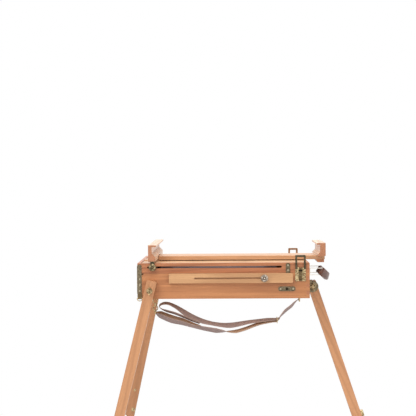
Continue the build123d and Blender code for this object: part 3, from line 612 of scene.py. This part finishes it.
class EASEL_OT_shoulder_strap(bpy.types.Operator):
    """The slack shoulder strap under the box: one long length, and one that loops back"""
    bl_idname = "easel.shoulder_strap"
    bl_label = "Shoulder strap"

    def execute(self, context):
        s = sizes()
        c = colours()
        low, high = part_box("shoulder_strap")
        y = (low.y + high.y) / 2
        finishes = [webbing_finish("strap_face", c.webbing), webbing_finish("strap_lining", c.lining)]
        rings = 200
        # Each place is X and Z in millimetres from the case's left bottom corner, and the twist in degrees.
        long_places = [(53.5, -46.5, -14), (66.8, -55, -36), (100.8, -69.5, -40), (134.4, -77.3, -34),
                       (168.6, -87.3, -28), (202.7, -94.4, -36), (236.5, -100.4, -40), (256, -102.4, -24),
                       (272.7, -103.6, 0), (297.1, -103, 14), (324.5, -95.5, 14), (355.1, -84, 13),
                       (376.4, -78, 11), (406.9, -73, 7), (422, -71.5, 2), (434.4, -55.8, -14),
                       (449.6, -39.6, -24), (464.9, -27.5, -24), (477.1, -14.3, -14), (489, -5, -4)]
        tail_places = [(53.5, -44.5, 0), (68, -48, 24), (100.8, -61, 30), (134.4, -70.5, 26), (165, -82, 18),
                       (190, -90, 8)]
        loop_places = [(430, -63, -4), (422, -66, -6), (394.7, -67.8, -14), (364.3, -71.2, -14),
                       (333.8, -75.4, -18), (303.3, -81.3, -26), (278.9, -84.6, -30),
                       (254.5, -83.6, -22), (224.1, -78.8, -18), (193.6, -71, -26), (163.2, -58.7, -35),
                       (138.9, -43.9, -30), (117.7, -29.4, -18), (96.4, -18.6, -11), (81.1, -16.1, -11),
                       (68.9, -19.4, -8), (63.7, -26.1, -6), (70.3, -33.2, -10), (87.1, -40, -20),
                       (111.4, -47.1, -21), (138.8, -58, -21), (163.2, -67.8, -24), (187.5, -76.5, -22)]
        for name, places, back in (("strap_long", long_places, 0), ("strap_tail", tail_places, 7),
                                   ("strap_loop", loop_places, 0)):
            line, length = smooth_line(under_case([place[:2] for place in places], y + back * MM), rings)
            share = np.linspace(0, 1, rings)
            run = np.cumsum([0] + [math.dist(a[:2], b[:2]) for a, b in zip(places, places[1:])])
            twist = np.radians(np.interp(share, run / run[-1], [place[2] for place in places]))
            shape = band(line, twist, s.strap_width, s.strap_thick)
            piece = surface_object(name, [shape], finishes, "case", upper=BAND_POINTS // 2)
            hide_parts("shoulder_strap")
        return {"FINISHED"}


def prism(outline, start, stop):
    """A closed outline of (y, z) places drawn out along X."""
    return np.array([[(x, y, z) for y, z in outline] for x in (start, stop)])


def disc(x, z, radius, start, stop):
    """A disc about an axis along Y."""
    points = 32
    angle = np.linspace(0, 2 * math.pi, points, endpoint=False)
    return np.array([[(x + radius * math.cos(a), y, z - radius * math.sin(a)) for a in angle]
                     for y in (start, stop)])


def outside_wall(side, depth):
    """The two Y places of a thin layer outside a case wall: side is 1 for the near wall, -1 for the far."""
    return sorted((side * CASE_LOW.y, side * (CASE_LOW.y - depth)))


class EASEL_OT_small_fittings(bpy.types.Operator):
    """Steel rails behind the lid's slots, and dark sheets of painted shadow behind the latch plates' windows
    and in the keeper plates' holes
    """
    bl_idname = "easel.small_fittings"
    bl_label = "Small fittings"

    def execute(self, context):
        c = colours()
        g = Graph("rail_paint")
        steel = g.surface(Base_Color=(*c.steel, 1), Roughness=0.45)
        # A dark brass finish that paints shadow.
        dark = brass_finish("painted_shadow_brass", toned(c.aged, 0.2), 0.3, 0.6)
        sides = (1, -1)
        piece = surface_object("lid_rails", [self.rail(side) for side in sides], [steel], "lid")
        # Dark sheets of painted shadow behind the latch plates' windows.
        piece = surface_object("latch_painted_shadow", [self.window(side) for side in sides], [dark], "lid")
        # Dark discs of painted shadow in the keeper plates' holes.
        hole_radius = 4.2 * MM
        holes = [disc(*middle("keeper_plates"), hole_radius, *outside_wall(side, 0.4 * MM)) for side in sides]
        piece = surface_object("keeper_painted_shadow", holes, [dark], "case")
        return {"FINISHED"}

    def rail(self, side):
        """A J-shaped rail: its foot lies on the inside of the lid's wall and its web ends under the panel."""
        lid_wall = 10 * MM
        wall = side * (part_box("lid_side_walls")[0].y + lid_wall)
        sheet = 1.0 * MM
        depth = 5.5 * MM
        bend = 8.5 * MM
        foot = 12.5 * MM
        top = 6.3 * MM
        length = 352 * MM
        start, z = from_case(70, 95.5)
        skin = side * sheet
        web = wall + side * depth
        section = [(wall, z - foot), (wall, z - bend), (web, z - bend), (web, z + top), (web + skin, z + top),
                   (web + skin, z - bend - sheet), (wall + skin, z - bend - sheet), (wall + skin, z - foot)]
        return prism(section if side < 0 else section[::-1], start, start + length)

    def window(self, side):
        """A dark sheet of painted shadow behind a latch plate's window."""
        y0, y1 = outside_wall(side, 0.3 * MM)
        low = CASE_HIGH.z + 3.5 * MM
        high = CASE_HIGH.z + 9.5 * MM
        half_width = 6.2 * MM
        x = middle("latch_plates")[0]
        return prism([(y0, low), (y1, low), (y1, high), (y0, high)], x - half_width, x + half_width)


class EASEL_OT_grip(bpy.types.Operator):
    """Leather on the handle"""
    bl_idname = "easel.grip"
    bl_label = "Handle grip"

    def execute(self, context):
        assign("handle_grip", leather_finish("grip_leather", colours().grip, 900, 0.5))
        return {"FINISHED"}


class EASEL_OT_stage(bpy.types.Operator):
    """Pale floor, soft lamps and the camera"""
    bl_idname = "easel.stage"
    bl_label = "Stage"

    def execute(self, context):
        scene = context.scene
        scene.view_settings.view_transform = "Standard"
        self.floor(scene)
        self.world(scene)
        self.lamps(scene)
        self.camera(scene)
        return {"FINISHED"}

    def floor(self, scene):
        """A round pale floor that fades to white at its rim."""
        radius = 2.3
        fade = (0.9, 1.9)
        sides = 96
        rings = np.linspace(0, radius, 8)[1:]
        angle = np.linspace(0, 2 * math.pi, sides, endpoint=False)
        points = [(0.0, 0.0, 0.0)]
        for ring in rings:
            points += np.stack([ring * np.cos(angle), ring * np.sin(angle), 0 * angle], axis=1).tolist()
        after = [(k + 1) % sides for k in range(sides)]
        faces = [(0, 1 + k, 1 + after[k]) for k in range(sides)]
        for ring in range(len(rings) - 1):
            first = 1 + ring * sides
            outer = first + sides
            faces += [(first + k, outer + k, outer + after[k], first + after[k]) for k in range(sides)]
        mesh = bpy.data.meshes.new("floor")
        mesh.from_pydata(points, [], faces)
        floor = bpy.data.objects.new("floor", mesh)
        scene.collection.objects.link(floor)
        g = Graph("floor_paint")
        away = g.nodes.new("ShaderNodeVectorMath")
        away.operation = "LENGTH"
        g.put(away.inputs[0], g.coords)
        rim = g.level(away.outputs["Value"], *fade)
        paint = g.nodes.new("ShaderNodeBsdfDiffuse")
        paint.inputs["Color"].default_value = (0.86, 0.86, 0.86, 1)
        white = g.nodes.new("ShaderNodeEmission")
        blend = g.nodes.new("ShaderNodeMixShader")
        path = g.nodes.new("ShaderNodeLightPath")
        seen = g.math("MULTIPLY", rim, path.outputs["Is Camera Ray"])
        g.put(blend.inputs[0], seen)
        g.links.new(paint.outputs[0], blend.inputs[1])
        g.links.new(white.outputs[0], blend.inputs[2])
        g.links.new(blend.outputs[0], g.out.inputs["Surface"])
        mesh.materials.append(g.material)

    def world(self, scene):
        """White where the camera or a polished surface looks, and a gentler light on the object."""
        ambient = 0.62
        world = bpy.data.worlds.new("studio")
        world.use_nodes = True
        scene.world = world
        nodes = world.node_tree.nodes
        links = world.node_tree.links
        nodes.clear()
        out = nodes.new("ShaderNodeOutputWorld")
        path = nodes.new("ShaderNodeLightPath")
        seen = nodes.new("ShaderNodeMath")
        seen.operation = "MAXIMUM"
        links.new(path.outputs["Is Camera Ray"], seen.inputs[0])
        links.new(path.outputs["Is Glossy Ray"], seen.inputs[1])
        strength = nodes.new("ShaderNodeMapRange")
        strength.inputs["To Min"].default_value = ambient
        strength.inputs["To Max"].default_value = 1.0
        links.new(seen.outputs[0], strength.inputs["Value"])
        light = nodes.new("ShaderNodeBackground")
        light.inputs["Color"].default_value = (1, 1, 1, 1)
        links.new(strength.outputs["Result"], light.inputs["Strength"])
        links.new(light.outputs[0], out.inputs["Surface"])

    def lamps(self, scene):
        """A large key lamp in front, high and to the left, a soft one above and a weak one on the right."""
        target = Vector((-0.05, 0, 0.9))
        for name, place, size, power in LAMPS:
            lamp = bpy.data.lights.new(name, "AREA")
            lamp.size = size
            lamp.energy = power
            holder = bpy.data.objects.new(name, lamp)
            holder.location = place
            holder.rotation_euler = (target - Vector(place)).to_track_quat("-Z", "Y").to_euler()
            scene.collection.objects.link(holder)

    def camera(self, scene):
        """The photograph's view: from the side, a little above the lid, aimed near the lid's left part."""
        left, wall_y, bottom = CASE_LOW.x, CASE_LOW.y, CASE_LOW.z
        eye = Vector((left + 0.274, wall_y - sizes().camera_distance, bottom + 0.335))
        aim = Vector((left + 0.2149, wall_y, bottom + 0.274))
        roll = math.radians(-0.4)
        focal_pixels = 1062.0
        picture = 416.0
        sensor = 36.0
        lens = bpy.data.cameras.new("camera")
        lens.sensor_width = sensor
        lens.lens = sensor * focal_pixels / picture
        camera = bpy.data.objects.new("camera", lens)
        facing = (aim - eye).to_track_quat("-Z", "Y").to_matrix().to_4x4()
        camera.matrix_world = Matrix.Translation(eye) @ facing @ Matrix.Rotation(roll, 4, "Z")
        scene.collection.objects.link(camera)
        scene.camera = camera


class EASEL_PT_panel(bpy.types.Panel):
    bl_label = "Sketch box easel"
    bl_idname = "EASEL_PT_panel"
    bl_space_type = "VIEW_3D"
    bl_region_type = "UI"
    bl_category = "Easel"

    def draw(self, context):
        for step in STEPS:
            self.layout.operator(step.bl_idname)
        for group in (context.scene.easel_colours, context.scene.easel_sizes):
            for name in group.__annotations__:
                self.layout.prop(group, name)


STEPS = (EASEL_OT_wood, EASEL_OT_metal, EASEL_OT_shoulder_strap, EASEL_OT_small_fittings, EASEL_OT_grip,
         EASEL_OT_stage)
CLASSES = (EaselColours, EaselSizes, *STEPS, EASEL_PT_panel)


def register():
    for item in CLASSES:
        bpy.utils.register_class(item)
    bpy.types.Scene.easel_colours = PointerProperty(type=EaselColours)
    bpy.types.Scene.easel_sizes = PointerProperty(type=EaselSizes)


def unregister():
    del bpy.types.Scene.easel_sizes
    del bpy.types.Scene.easel_colours
    for item in reversed(CLASSES):
        bpy.utils.unregister_class(item)


def main():
    """Make every piece in order."""
    register()
    bpy.ops.easel.stage()
    bpy.ops.easel.shoulder_strap()
    bpy.ops.easel.wood()
    bpy.ops.easel.metal()
    bpy.ops.easel.small_fittings()
    bpy.ops.easel.grip()


if __name__ == "__main__":
    main()
